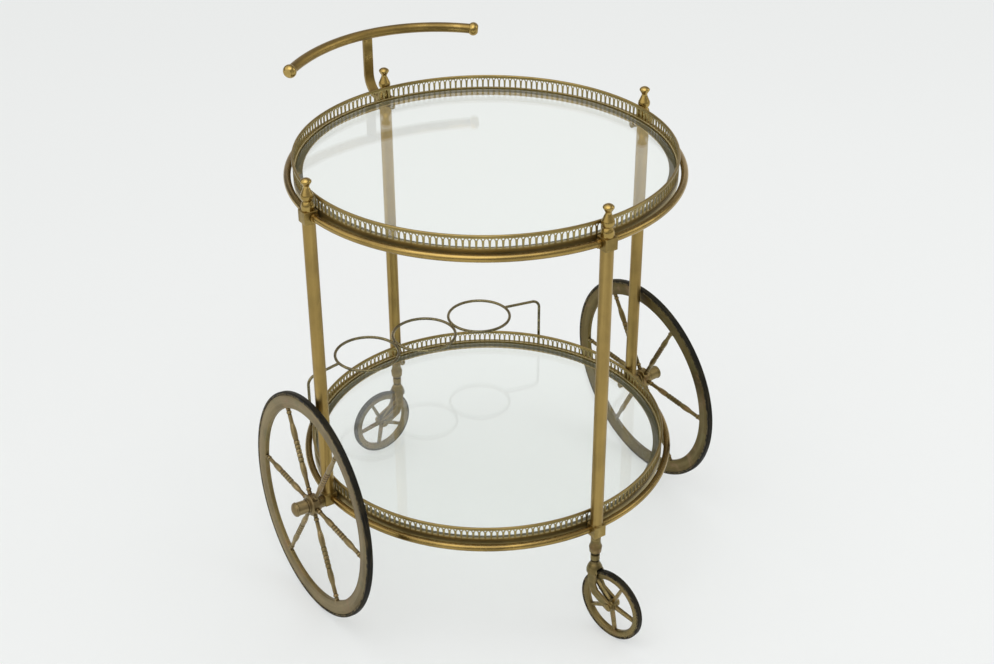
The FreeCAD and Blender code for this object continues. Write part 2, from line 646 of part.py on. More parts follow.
def wheel_spoke():
    """Turned spoke along +Z from the hub's axis, alike at both ends, with a tenon at each."""
    start = HUB_R - SPOKE_SINK
    middle = (start + RIM_INNER + SPOKE_SINK) / 2
    collar = start + SPOKE_COLLAR
    bead = collar + SPOKE_COVE
    throat = bead + SPOKE_BEAD
    waist = throat + SPOKE_THROAT
    belly = waist + SPOKE_WAIST
    reeds = middle - (SPOKE_SIDE_REEDS + 0.5) * SPOKE_REED
    neck = reeds - SPOKE_NECK
    half = [(0, start - SPOKE_TENON), (SPOKE_TENON_R, start - SPOKE_TENON), (SPOKE_TENON_R, start),
            (SPOKE_COLLAR_R, start), (SPOKE_COLLAR_R, collar), (SPOKE_COVE_R, bead),
            (SPOKE_BEAD_R, bead + SPOKE_BEAD / 2, SPOKE_COVE_R, throat),
            (SPOKE_WAIST_R, waist), (SPOKE_WAIST_R, belly),
            (SPOKE_BELLY_R, (belly + neck) / 2, SPOKE_NECK_R, neck), (SPOKE_NECK_R, reeds)]
    for step in range(SPOKE_SIDE_REEDS):
        reed = reeds + step * SPOKE_REED
        half.append((SPOKE_REED_R, reed + SPOKE_REED / 2, SPOKE_NECK_R, reed + SPOKE_REED))
    centre = (SPOKE_REED_R, middle, SPOKE_NECK_R, middle + SPOKE_REED / 2)
    return turned(half + [centre] + mirrored(half, middle))


def round_band(inner, outer, width, rounding):
    """Ring about X, centred on the origin, with its outer edges rounded."""
    half = width / 2
    slant = rounding * (1 - math.sqrt(0.5))
    band = turned([(inner, -half), (outer - rounding, -half),
                   (outer - slant, -half + slant, outer, -half + rounding),
                   (outer, half - rounding),
                   (outer - slant, half - slant, outer - rounding, half),
                   (inner, half)])
    band.rotate(AXIS, V(0, 1, 0), 90)
    return band


def wheel_rim():
    """Rim about X, centred on the origin, thinner towards its inner edge."""
    half = RIM_WIDTH / 2
    edge = RIM_EDGE_WIDTH / 2
    side = [(RIM_INNER, edge - RIM_ROUND), (RIM_INNER + RIM_ROUND, edge), (RIM_OUTER - RIM_FLAT, half),
            (RIM_OUTER - RIM_ROUND, half), (RIM_OUTER, half - RIM_ROUND)]
    band = turned(side + [(radius, -width) for radius, width in side[::-1]])
    band.rotate(AXIS, V(0, 1, 0), 90)
    return band


def leaned(solid):
    """Copy of a piece of the upright wheel on +X, leaned in about the wheel's middle."""
    copy = solid.copy()
    copy.rotate(V(WHEEL_X, 0, WHEEL_Z), V(0, 1, 0), -WHEEL_CAMBER)
    return copy


def stub_axle(grow=0.0):
    """Axle of the wheel on +X, with its seat in the block and its collar thickened by grow."""
    inner_end = BLOCK_OUTER - AXLE_SEAT - grow
    face = BLOCK_OUTER - grow
    seat_r = AXLE_SEAT_R + grow
    collar_r = AXLE_COLLAR_R + grow
    collar_end = BLOCK_OUTER + AXLE_COLLAR
    tail = AXLE_NUT_END + AXLE_TAIL
    return leaned(turned([(0, inner_end), (seat_r, inner_end), (seat_r, face), (collar_r, face),
                          (collar_r, collar_end), (AXLE_R, collar_end), (AXLE_R, AXLE_NUT_START),
                          (AXLE_THREAD_R, AXLE_NUT_START), (AXLE_THREAD_R, tail), (0, tail)],
                         V(0, 0, WHEEL_Z), V(1, 0, 0)))


def axle_nut():
    """Nut inside the cap of the wheel on +X."""
    bore = AXLE_THREAD_R + FIT
    return leaned(turned([(bore, AXLE_NUT_START), (AXLE_NUT_R, AXLE_NUT_START), (AXLE_NUT_R, AXLE_NUT_END),
                          (bore, AXLE_NUT_END)], V(0, 0, WHEEL_Z), V(1, 0, 0)))


def wheel_pieces():
    """Tyre, rim, spokes, hub and cap of the wheel on +X."""
    tyre = round_band(RIM_OUTER, WHEEL_R, TYRE_WIDTH, TYRE_ROUND)
    rim = wheel_rim()
    spoke = wheel_spoke()
    spokes = []
    for step in range(SPOKES):
        spokes.append(spoke.copy())
        spokes[-1].rotate(AXIS, V(1, 0, 0), step * 360.0 / SPOKES - 90)
    rim = rim.cut(spokes)
    side = (HUB_LENGTH - HUB_BARREL) / 2
    far_side = side + HUB_BARREL
    mouth = AXLE_R + RUN_FIT
    edge = HUB_CHAMFER
    hub = turned([(mouth, 0), (HUB_END_R - edge, 0), (HUB_END_R, edge), (HUB_END_R, HUB_END),
                  (HUB_R - edge, side), (HUB_R, side + edge), (HUB_R, far_side - edge),
                  (HUB_R - edge, far_side), (HUB_END_R, HUB_LENGTH - HUB_END),
                  (HUB_END_R, HUB_LENGTH), (mouth, HUB_LENGTH)],
                 V(-HUB_LENGTH / 2, 0, 0), V(1, 0, 0))
    hub = hub.cut(spokes)
    bore = CAP_R - CAP_WALL
    drum = CAP_LENGTH - CAP_DOME
    bead_end = drum - CAP_LAND
    bead_start = bead_end - CAP_BEAD
    bead_r = CAP_R + CAP_BEAD_RISE
    cap = turned([(bore, 0), (CAP_R, 0), (CAP_R, bead_start), (bead_r, bead_start + CAP_BEAD_SLOPE),
                  (bead_r, bead_end - CAP_BEAD_SLOPE), (CAP_R, bead_end), (CAP_R, drum),
                  dome(CAP_R, drum, CAP_LENGTH), (0, drum - CAP_WALL), (bore, drum - CAP_WALL)],
                 V(HUB_LENGTH / 2, 0, 0), V(1, 0, 0))
    wheel = {"tyre": [tyre], "rim": [rim], "spokes": spokes, "hub": [hub], "hub_cap": [cap]}
    return {key: [leaned(moved(s, x=WHEEL_X, z=WHEEL_Z)) for s in solids] for key, solids in wheel.items()}


def caster_stem():
    """Turned stem under the post, at the origin's axis, bored for the kingpin."""
    height = STEM_HEAD - STEM_FOOT
    bore = KINGPIN_R + RUN_FIT
    bore_end = KINGPIN_BITE + RUN_END
    profile = [(bore, 0), (STEM_LAND_R, 0), (STEM_LAND_R, height * STEM_LAND),
               (STEM_GROOVE_R, height * STEM_GROOVE), (STEM_RING_R, height * STEM_RING),
               (STEM_RING_R, height * STEM_RING_TOP), (STEM_GROOVE_R, height * STEM_COVE),
               (STEM_CUP_FOOT_R, height * STEM_CUP_FOOT), (STEM_CUP_LOW_R, height * STEM_CUP_LOW),
               (STEM_CUP_R, height * STEM_CUP), (STEM_COLLAR_R, height * STEM_COLLAR),
               (STEM_COLLAR_R, height), (STEM_SPIGOT_R, height), (STEM_SPIGOT_R, height + STEM_SPIGOT),
               (0, height + STEM_SPIGOT), (0, bore_end), (bore, bore_end)]
    return turned(profile, V(0, 0, STEM_FOOT))


def link(start, start_r, end, end_r):
    """Flat shape round two circles in the XZ plane, as a face."""
    across = end - start
    lean = math.asin((start_r - end_r) / across.Length)
    heading = math.atan2(across.z, across.x)
    sides = [heading + math.pi / 2 - lean, heading - math.pi / 2 + lean]
    ways = [V(math.cos(a), 0, math.sin(a)) for a in sides]
    corners = [start + ways[0] * start_r, end + ways[0] * end_r,
               end + ways[1] * end_r, start + ways[1] * start_r]
    along = V(math.cos(heading), 0, math.sin(heading))
    edges = [Part.LineSegment(corners[0], corners[1]),
             Part.Arc(corners[1], end + along * end_r, corners[2]),
             Part.LineSegment(corners[2], corners[3]),
             Part.Arc(corners[3], start - along * start_r, corners[0])]
    return Part.Face(Part.Wire([edge.toShape() for edge in edges]))


def fork():
    """Caster fork about the origin's axis, trailing along +X: bell crown and two swept legs."""
    crown = turned([(0, CROWN_FOOT), (CROWN_R, CROWN_FOOT), (CROWN_R, CROWN_FOOT + CROWN_SKIRT),
                    (CROWN_SHOULDER_R, CROWN_TOP - CROWN_SHOULDER, CROWN_NECK_R, CROWN_TOP - CROWN_LAND),
                    (CROWN_NECK_R, CROWN_TOP), (0, CROWN_TOP)])
    axle = V(CASTER_TRAIL, 0, CASTER_R)
    inside = V(0, FORK_INSIDE, 0)
    crown = crown.cut(rod(WHEEL_ROOM, axle - inside, axle + inside))
    stations = [(V(LEG_TOP_REACH, 0, CROWN_FOOT), LEG_TOP_R),
                (V(LEG_WAIST_REACH, 0, CROWN_FOOT - LEG_WAIST_DROP), LEG_WAIST_R),
                (V(LEG_KNEE_REACH, 0, CASTER_R + LEG_KNEE_RISE), LEG_KNEE_R),
                (axle, LEG_BOSS_R)]
    legs = []
    for (start, start_r), (end, end_r) in zip(stations, stations[1:]):
        length = link(start, start_r, end, end_r).extrude(V(0, FORK_LEG, 0))
        legs += [moved(length, y=FORK_INSIDE), moved(length, y=-FORK_OUTSIDE)]
    shell = crown.fuse(legs).removeSplitter()
    outside = V(0, FORK_OUTSIDE, 0)
    bore = rod(CASTER_AXLE_R + FIT, axle - outside, axle + outside)
    pin = rod(KINGPIN_R + FIT, V(0, 0, CROWN_TOP - KINGPIN_SEAT - FIT), V(0, 0, CROWN_TOP))
    return shell.cut([bore, pin])


def kingpin():
    """Pin that is pressed into the fork's crown and turns in the stem."""
    return rod(KINGPIN_R, V(0, 0, CROWN_TOP - KINGPIN_SEAT), V(0, 0, STEM_FOOT + KINGPIN_BITE))


def caster_bolt():
    """Axle bolt with a domed head, and its round nut on the other leg."""
    base = V(CASTER_TRAIL, 0, CASTER_R)
    out = FORK_OUTSIDE
    end = out + CASTER_HEAD
    edge = out + CASTER_HEAD_EDGE
    bolt = turned([(0, end), (CASTER_AXLE_R, end), (CASTER_AXLE_R, -out), (CASTER_HEAD_R, -out),
                   (CASTER_HEAD_R, -edge), dome(CASTER_HEAD_R, -edge, -end)], base, V(0, 1, 0))
    bore = CASTER_AXLE_R + FIT
    nut = turned([(bore, out), (CASTER_HEAD_R, out), (CASTER_HEAD_R, end - CASTER_CHAMFER),
                  (CASTER_HEAD_R - CASTER_CHAMFER, end), (bore, end)], base, V(0, 1, 0))
    return [bolt, nut]


def caster_wheel():
    """Cast wheel with tapered spokes, and its tyre, in the fork that trails along +X."""
    rim_outer = CASTER_R - CASTER_TYRE_DEPTH
    rim_inner = rim_outer - CASTER_RIM_DEPTH
    half_hub = CASTER_HUB_LENGTH / 2
    half_rim = CASTER_RIM_WIDTH / 2
    bevel = CASTER_RIM_EDGE
    rim = turned([(rim_inner, bevel - half_rim), (rim_inner + bevel, -half_rim), (rim_outer, -half_rim),
                  (rim_outer, half_rim), (rim_inner + bevel, half_rim), (rim_inner, half_rim - bevel)])
    edge = CASTER_CHAMFER
    hub = turned([(0, -half_hub), (CASTER_HUB_R - edge, -half_hub), (CASTER_HUB_R, edge - half_hub),
                  (CASTER_HUB_R, half_hub - edge), (CASTER_HUB_R - edge, half_hub), (0, half_hub)])
    near = CASTER_HUB_R - CASTER_SPOKE_SINK
    far = rim_inner + CASTER_SPOKE_SINK
    inner = CASTER_SPOKE_INNER / 2
    outer = CASTER_SPOKE_OUTER / 2
    outline = [V(near, -inner, 0), V(far, -outer, 0), V(far, outer, 0), V(near, inner, 0)]
    spoke = Part.Face(Part.makePolygon(outline + outline[:1])).extrude(V(0, 0, CASTER_SPOKE_THICK))
    spoke = moved(spoke, z=-CASTER_SPOKE_THICK / 2)
    step = 360.0 / CASTER_SPOKES
    spokes = [swung(spoke, CASTER_SPOKE_PHASE + count * step) for count in range(CASTER_SPOKES)]
    wheel = rim.fuse([hub] + spokes).removeSplitter()
    wheel = wheel.cut(rod(CASTER_AXLE_R + RUN_FIT, V(0, 0, -half_hub), V(0, 0, half_hub)))
    tyre = round_band(rim_outer, CASTER_R, CASTER_TYRE_WIDTH, CASTER_TYRE_ROUND)
    tyre.rotate(AXIS, UP, 90)
    wheel.rotate(AXIS, V(1, 0, 0), 90)
    return [moved(s, x=CASTER_TRAIL, z=CASTER_R) for s in (wheel, tyre)]


def set_caster(shape, post_angle, trail_angle):
    """A caster's piece, drawn about the origin's axis, turned to its trail and put under its post."""
    place = swung(Part.Vertex(POST_CIRCLE_R, 0, 0), post_angle).Point
    return moved(swung(shape, trail_angle), place.x, place.y)


def front_reach():
    """How far the front caster's wheel reaches from the cart's axis."""
    angle = math.radians(FRONT_TRAIL_ANGLE)
    along = abs(math.sin(angle))
    across = abs(math.cos(angle))
    return POST_CIRCLE_R + (CASTER_TRAIL + CASTER_R) * along + CASTER_TYRE_WIDTH / 2 * across


def build():
    """Every node's solids, about the cart's axis."""
    nodes = {}
    nodes.update(tray_pieces("upper", UPPER_Z))
    nodes.update(tray_pieces("lower", LOWER_Z))
    for name in POST_ANGLES:
        nodes[name + "_post"] = [post(name)]
        nodes[name + "_upper_block"] = [upper_block(name)]
        nodes[name + "_lower_block"] = [lower_block(name)]
        nodes[name + "_finial"] = [finial(name)]
    angles = list(POST_ANGLES.values())
    nodes["tray_screws"] = [swung(tray_screw(z), a) for z in (UPPER_Z, LOWER_Z) for a in angles]
    nodes["tray_nuts"] = [swung(tray_nut(z), a) for z in (UPPER_Z, LOWER_Z) for a in angles]

    nodes["handle_bar"] = [handle_bar()]
    nodes["handle_balls"] = [handle_ball(side) for side in (-1, 1)]
    nodes["handle_strap"] = [strap_blank().cut([handle_bar(FIT), strap_screw(FIT)])]
    nodes["handle_screw"] = [strap_screw()]

    rings = bottle_rings()
    nodes["bottle_rings"] = [rings]
    nodes["bottle_legs"] = [bottle_leg(side, rings, ring_rods(LOWER_Z, FIT)) for side in (-1, 1)]

    wheel = wheel_pieces()
    for name in ("right", "left"):
        for key, solids in wheel.items():
            nodes[name + "_" + key] = [swung(s, POST_ANGLES[name]) for s in solids]
        nodes[name + "_axle"] = [swung(stub_axle(), POST_ANGLES[name])]
    nodes["axle_nuts"] = [swung(axle_nut(), POST_ANGLES[name]) for name in ("right", "left")]

    for name, trail in (("front", FRONT_TRAIL_ANGLE), ("rear", REAR_TRAIL_ANGLE)):
        cast, tyre = caster_wheel()
        pieces = {"_caster_stem": [caster_stem()], "_fork": [fork()], "_kingpin": [kingpin()],
                  "_caster_axle": caster_bolt(), "_caster_wheel": [cast], "_caster_tyre": [tyre]}
        for key, solids in pieces.items():
            nodes[name + key] = [set_caster(s, POST_ANGLES[name], trail) for s in solids]
    return nodes


def solids_of(shapes):
    """All solids of a list of shapes."""
    return [solid for shape in shapes for solid in shape.Solids]


os.makedirs("parts", exist_ok=True)
SHIFT_Y = (front_reach() - HANDLE_Y - HANDLE_BAR_R) / 2
for node, shapes in build().items():
    solids = [moved(s, y=SHIFT_Y) for s in solids_of(shapes)]
    whole = solids[0] if len(solids) == 1 else Part.makeCompound(solids)
    whole.exportStep("parts/" + node + ".step")
    print(node, len(solids), all(s.isValid() for s in solids))
print("moved along Y by", round(SHIFT_Y, 3))
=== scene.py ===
import json
import math

import bpy
from mathutils import Matrix, Vector


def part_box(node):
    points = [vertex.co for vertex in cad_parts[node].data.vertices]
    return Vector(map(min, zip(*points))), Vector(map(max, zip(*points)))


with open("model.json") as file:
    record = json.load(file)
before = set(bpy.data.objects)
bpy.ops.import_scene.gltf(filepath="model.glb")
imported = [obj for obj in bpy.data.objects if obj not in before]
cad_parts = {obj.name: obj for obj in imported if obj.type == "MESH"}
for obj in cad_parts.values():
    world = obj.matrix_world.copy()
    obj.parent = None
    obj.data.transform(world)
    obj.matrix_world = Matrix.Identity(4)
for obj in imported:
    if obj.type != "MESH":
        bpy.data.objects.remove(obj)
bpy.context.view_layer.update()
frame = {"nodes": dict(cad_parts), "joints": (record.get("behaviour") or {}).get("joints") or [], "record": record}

NODES = frame["nodes"]

# The photograph's view
IMAGE_WIDTH = 994
FOCAL_PIXELS = 1542.13
SENSOR_MM = 36.0
CAMERA_PLACE = Vector((-0.9487, -1.43135, 1.3544))
CAMERA_WAY = Vector((0.4757, 0.7135, -0.5144))
CAMERA_ROLL = math.radians(-0.155)

# Places on the cart, in metres
WHEEL_SEAT_R = 0.146      # where a large wheel's tyre meets its rim
CASTER_SEAT_R = 0.0451    # the same on a caster
STEM_SPIGOT = 0.008       # hidden top of a caster's stem
STEM_LOW, STEM_HIGH = (corner.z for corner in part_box("front_caster_stem"))
STEM_LINES = [STEM_LOW + share * (STEM_HIGH - STEM_SPIGOT - STEM_LOW) for share in (0.055, 0.295)]
SPOKE_LINES = (0.0175, 0.0228, 0.0570, 0.0626, 0.0682, 0.0738, 0.0794, 0.0850,
               0.1192, 0.1245)   # radii between the turnings of a spoke
CART_AXIS = ((0.0, 0.0149, 0.0), (0.0, 0.0, 1.0))   # a point and the direction

# Studio
PAPER = (0.915, 0.93, 0.92, 1.0)    # white of the surroundings and of the floor's own light
FLOOR_TONES = (0.87, 0.885, 0.88), (0.90, 0.915, 0.91)
FLOOR_REACH = 9.0
FLOOR_CLOUD_SCALE = 0.9
FLOOR_ROUGHNESS = 0.9
FLOOR_SPECULAR = 0.1
FLOOR_GLOW = 0.45                   # share of the floor's look that is its own white
FILL_TINT = (1.0, 1.0, 1.0, 1.0)
FILL_LEVEL = 0.78
GLOSS_TINT = (1.0, 0.975, 0.92, 1.0)
BACK_WAY = Vector((CAMERA_WAY.x, CAMERA_WAY.y, 0)).normalized()
RIGHT_WAY = BACK_WAY.cross(Vector((0, 0, 1)))
CEILING_WAY = Vector((-0.51, 0.04, 0.86)).normalized()
GLOSS_LIGHTS = (    # direction, the cosines to it where the light begins and is full, and both levels
    (RIGHT_WAY, -0.6, 0.6, 0.15, 0.42),
    (BACK_WAY, 0.70, 0.95, 0.0, 0.50),
    (CEILING_WAY, 0.40, 0.85, 0.0, 1.15),
)
LAMPS = {           # place, target, width in metres and power in watts
    "overhead": ((-0.8, -0.7, 2.6), (-0.2, -0.3, 0.0), 2.0, 15.0),
    "side": ((2.4, -1.2, 1.9), (0, 0, 0.4), 1.6, 9.0),
}

# Brass in dark, middle and light: drawn and bent stock, polished turnings, castings, wheels and wire
GOLD = ((0.20, 0.138, 0.045), (0.33, 0.225, 0.068), (0.47, 0.33, 0.115))
HOOP = ((0.235, 0.163, 0.052), (0.39, 0.270, 0.085), (0.53, 0.375, 0.130))
SHINE = ((0.36, 0.252, 0.078), (0.45, 0.320, 0.102), (0.60, 0.435, 0.16))
OLIVE = ((0.165, 0.125, 0.044), (0.275, 0.205, 0.072), (0.45, 0.34, 0.135))
DULL = ((0.160, 0.120, 0.053), (0.250, 0.192, 0.088), (0.35, 0.27, 0.125))
BROWN = ((0.092, 0.068, 0.021), (0.150, 0.112, 0.036), (0.24, 0.182, 0.068))
CAST = ((0.105, 0.078, 0.031), (0.205, 0.153, 0.060), (0.42, 0.32, 0.140))
BLOCK = ((0.205, 0.147, 0.050), (0.335, 0.240, 0.078), (0.48, 0.350, 0.128))
STRIP = ((0.215, 0.165, 0.064), (0.36, 0.285, 0.112), (0.54, 0.435, 0.185))
WIRE = ((0.105, 0.095, 0.062), (0.20, 0.172, 0.092), (0.41, 0.35, 0.180))
PALE = ((0.210, 0.155, 0.075), (0.315, 0.245, 0.122), (0.46, 0.36, 0.19))

# What lies on the brass, and painted shade for its tops, corners and grooves
COPPER = (0.27, 0.165, 0.085)
VERDIGRIS = (0.155, 0.145, 0.062)
# painted shade laid on tops, standing in for a dark reflection from above
TOP_SHADE = (0.165, 0.108, 0.048)
LEDGE = (0.54, 0.49, 0.285)
# soiling and painted shade for corners, small turnings and the lines between turnings
GRIME_AND_SHADE = (0.070, 0.050, 0.022)
# soiling and painted shade for grooves
GROOVE_DIRT_AND_SHADE = (0.026, 0.019, 0.008)

# Patterns on brass: scales per metre, reaches and depths in metres
DRIFT_SCALE = 13.0
STAIN_SCALE = 24.0
SPECK_SCALE = 520.0
ROUND_DRIFT = 0.05          # how much turned marks change round their axis
EDGE_REACH = 0.0035
# reaches of the soiling and painted shade in corners, small turnings, grooves and rings
CORNER_REACH = 0.007
TURNING_REACH = 0.0022
GROOVE_REACH = 0.0020
RING_REACH = 0.0013
GROOVE_SHARE = 0.9
RING_SHARE = 0.75
LINE_CORE = 0.4             # share of a line's reach where it is full
RELIEF_DEPTH = 0.0003
# the same span places the painted shade on tops and makes tops matt
TOP_FACING = (0.6, 0.98)    # upward part of the normal where a top begins and is full
OCCLUSION_SAMPLES = 6
BEVEL_SAMPLES = 4

# Rubber
RUBBER_TONES = (0.006, 0.0052, 0.003), (0.024, 0.0195, 0.009)
SCUFF = (0.080, 0.060, 0.028)
CHIP = (0.165, 0.128, 0.060)
CHIP_BAND = (0.0034, 0.0004)    # distances from the rim where chips begin and are full
RUBBER_DRIFT_SCALE = 22.0
RUBBER_GRAIN_SCALE = 700.0
CHIP_SCALE = 150.0
CHIP_SHARE = 0.9
SCUFF_SCALE = 420.0
RUBBER_ROUND_DRIFT = 0.08
RUBBER_DEPTH = 0.0006
RUBBER_RELIEF = 0.5
RUBBER_SPECULAR = 0.15

# Glass
GLASS_TINT = (0.997, 1.0, 0.995, 1.0)
GLASS_BODY = (0.52, 0.82, 0.64, 1.0)
GLASS_DENSITY = 9.0
GLASS_SHADE = (0.93, 0.96, 0.94, 1.0)   # what is left of a lamp's light behind a surface
GLASS_CLEAR = 0.97                      # the rest is a faint film
GLASS_IOR = 1.5
SMEAR_ROUGHNESS = 0.05
SMEAR_SCALE = 9.0
SMEAR_STRETCH = (1.0, 0.35, 1.0)


def node(tree, kind, links=None, **values):
    """New shader node. Links go from sockets to inputs by name or number, and values are its settings."""
    made = tree.nodes.new("ShaderNode" + kind)
    for key, value in values.items():
        setattr(made, key, value)
    for key, value in (links or {}).items():
        if isinstance(value, bpy.types.NodeSocket):
            tree.links.new(value, made.inputs[key])
        else:
            made.inputs[key].default_value = value
    return made


def noise(tree, coord, scale, detail, rough, distortion=0.0):
    """Value of a noise texture."""
    made = node(tree, "TexNoise", {"Vector": coord, "Scale": scale, "Detail": detail,
                                   "Roughness": rough, "Distortion": distortion})
    return made.outputs["Fac"]


def span(tree, value, low, high, to_low=0.0, to_high=1.0):
    """A value's range, drawn smoothly onto another one.

    On a noise, a pattern begins at the level low and is full at high.
    """
    made = node(tree, "MapRange", {"Value": value, "From Min": low, "From Max": high,
                                   "To Min": to_low, "To Max": to_high},
                interpolation_type="SMOOTHSTEP")
    return made.outputs["Result"]


def maths(tree, operation, a, b=0.0):
    """Result of an operation on one or two values."""
    return node(tree, "Math", {0: a, 1: b}, operation=operation).outputs[0]


def weighted(tree, a, share_a, b, share_b):
    """Sum of two values, each times its share."""
    return maths(tree, "ADD", maths(tree, "MULTIPLY", a, share_a), maths(tree, "MULTIPLY", b, share_b))


def vector(tree, operation, a, b, output="Vector"):
    """Result of an operation on two vectors."""
    return node(tree, "VectorMath", {0: a, 1: b}, operation=operation).outputs[output]


def blend(tree, share, a, b):
    """Colour between a and b."""
    made = node(tree, "Mix", data_type="RGBA")
    for key, value in ((0, share), (6, a), (7, b)):
        if isinstance(value, bpy.types.NodeSocket):
            tree.links.new(value, made.inputs[key])
        else:
            made.inputs[key].default_value = tuple(value) + (1.0,)
    return made.outputs[2]


def stretched(tree, coord, scale):
    """Coordinates scaled along each axis."""
    return node(tree, "Mapping", {"Vector": coord, "Scale": scale}).outputs["Vector"]


def height_of(tree, direction):
    """Upward part of a vector."""
    return node(tree, "SeparateXYZ", {0: direction}).outputs["Z"]


def openness(tree, reach, inside=False):
    """1 where no surface is within the reach. Less in corners or, looking into the solid, at edges."""
    made = node(tree, "AmbientOcclusion", {"Distance": reach}, samples=OCCLUSION_SAMPLES, inside=inside)
    return made.outputs["AO"]


def material(name):
    """New material with an empty Principled shader. Returns it, its tree, the shader and coordinates."""
    made = bpy.data.materials.new(name)
    made.use_nodes = True
    tree = made.node_tree
    tree.nodes.clear()
    shader = node(tree, "BsdfPrincipled")
    node(tree, "OutputMaterial", {"Surface": shader.outputs[0]})
    coord = node(tree, "TexCoord").outputs["Object"]
    return made, tree, shader, coord


def bump(tree, shader, height, depth, strength, edge=0.0):
    """Fine relief from a height, over edges that look rounded by the radius edge."""
    made = node(tree, "Bump", {"Height": height, "Distance": depth, "Strength": strength})
    if edge:
        soft = node(tree, "Bevel", {"Radius": edge}, samples=BEVEL_SAMPLES)
        tree.links.new(soft.outputs[0], made.inputs["Normal"])
    tree.links.new(made.outputs[0], shader.inputs["Normal"])


def round_coord(tree, coord, hub, axis, drift):
    """Distance from an axis, and coordinates that change with it, along the axis and a little round it."""
    away = vector(tree, "SUBTRACT", coord, hub)
    flat = vector(tree, "CROSS_PRODUCT", away, axis)
    radius = node(tree, "VectorMath", {0: flat}, operation="LENGTH").outputs["Value"]
    along = vector(tree, "DOT_PRODUCT", away, axis, "Value")
    marks = node(tree, "CombineXYZ", {0: radius, 1: along}).outputs["Vector"]
    rest = node(tree, "VectorMath", {0: coord, "Scale": drift}, operation="SCALE").outputs["Vector"]
    return radius, vector(tree, "ADD", marks, rest)


def near_lines(tree, value, places, reach, share):
    """The share where a value is at one of some places, falling to 0 at the reach from it."""
    away = reach
    for place in places:
        step = maths(tree, "ABSOLUTE", maths(tree, "SUBTRACT", value, place))
        away = maths(tree, "MINIMUM", step, away)
    return span(tree, away, reach, LINE_CORE * reach, to_high=share)


def stained(tree, coord, colour):
    """Colour with patches of copper red and of verdigris."""
    patch = noise(tree, coord, STAIN_SCALE, detail=5.0, rough=0.65, distortion=1.2)
    colour = blend(tree, span(tree, patch, 0.52, 0.70, to_high=0.65), colour, COPPER)
    return blend(tree, span(tree, patch, 0.46, 0.30, to_high=0.5), colour, VERDIGRIS)


def brass(name, colours, rough, streak, grain=(1, 1, 1), about=None, pits=0.25, stain=False, top=0.5,
          top_colour=TOP_SHADE, dull=0.0, worn=0.35, dirt_and_shade=0.25, fine=0.0, grooves=(), rings=(), edge=0.0006,
          relief=0.3):
    """Aged brass with drifts of darker oxide and drawn or turned marks.

    colours: dark, middle and light; rough: least and most roughness
    streak, grain: scale and stretch of the marks; about: hub and axis that they run round, if any
    pits, stain: share of dark specks, and whether there are patches of copper red and verdigris
    top, top_colour, dull: share and colour of the painted shade on tops (a pale, dusty colour on the ledge), and
    how matt tops are
    worn, edge: brightness of worn edges, and their radius
    dirt, fine: share of dirt in corners and in small turnings
    dirt_and_shade, fine: share of soiling and painted shade in corners and in small turnings
    relief: strength of the fine relief
    """
    dark, mid, light = colours
    made, tree, shader, coord = material(name)
    if about:
        radius, marks = round_coord(tree, coord, *about, ROUND_DRIFT)
    else:
        marks = stretched(tree, coord, grain)
    drift = noise(tree, coord, DRIFT_SCALE, detail=5.0, rough=0.6, distortion=0.4)
    streaks = noise(tree, marks, streak, detail=4.0, rough=0.6)
    specks = noise(tree, coord, SPECK_SCALE, detail=2.0, rough=0.5)
    colour = blend(tree, span(tree, drift, 0.34, 0.62), dark, mid)
    colour = blend(tree, span(tree, streaks, 0.46, 0.80, to_high=0.7), colour, light)
    colour = blend(tree, span(tree, specks, 0.62, 0.74, to_high=pits), colour, dark)
    if stain:
        colour = stained(tree, coord, colour)
    # Painted shade: tops take a darker colour, standing in for a dark reflection from above; the ledge's tops take
    # a pale, dusty colour instead
    up = height_of(tree, node(tree, "TexCoord").outputs["Normal"])
    colour = blend(tree, span(tree, up, *TOP_FACING, to_high=top), colour, top_colour)
    if worn:
        thick = openness(tree, EDGE_REACH, inside=True)
        colour = blend(tree, span(tree, thick, 0.75, 0.35, to_high=worn), colour, light)
    wear = maths(tree, "ADD", span(tree, streaks, 0.3, 0.7, rough[1], rough[0]),
                 span(tree, specks, 0.4, 0.8, to_high=0.08))
    # Soiling and painted shade in corners, where little light reaches
    if dirt_and_shade:
        grime_and_shade = maths(tree, "MULTIPLY", span(tree, openness(tree, CORNER_REACH), 0.8, 0.3, to_high=dirt_and_shade),
                      span(tree, drift, 0.25, 0.6, 0.6, 1.0))
        colour = blend(tree, grime_and_shade, colour, GRIME_AND_SHADE)
        wear = maths(tree, "ADD", wear, maths(tree, "MULTIPLY", grime_and_shade, 0.3))
    # Soiling and painted shade in small turnings
    if fine:
        close = openness(tree, TURNING_REACH)
        colour = blend(tree, span(tree, close, 0.93, 0.60, to_high=fine), colour, GRIME_AND_SHADE)
    # Dark lines of soiling and painted shade along the grooves and between the turnings
    if grooves:
        lines = near_lines(tree, height_of(tree, coord), grooves, GROOVE_REACH, GROOVE_SHARE)
        colour = blend(tree, lines, colour, GROOVE_DIRT_AND_SHADE)
    if rings:
        lines = near_lines(tree, radius, rings, RING_REACH, RING_SHARE)
        colour = blend(tree, lines, colour, GRIME_AND_SHADE)
    tree.links.new(colour, shader.inputs["Base Color"])
    shader.inputs["Metallic"].default_value = 1.0
    if dull:
        tree.links.new(span(tree, up, *TOP_FACING, 1.0, 1.0 - dull), shader.inputs["Metallic"])
    tree.links.new(wear, shader.inputs["Roughness"])
    bump(tree, shader, weighted(tree, streaks, 0.6, specks, 0.5), RELIEF_DEPTH, relief, edge)
    return made


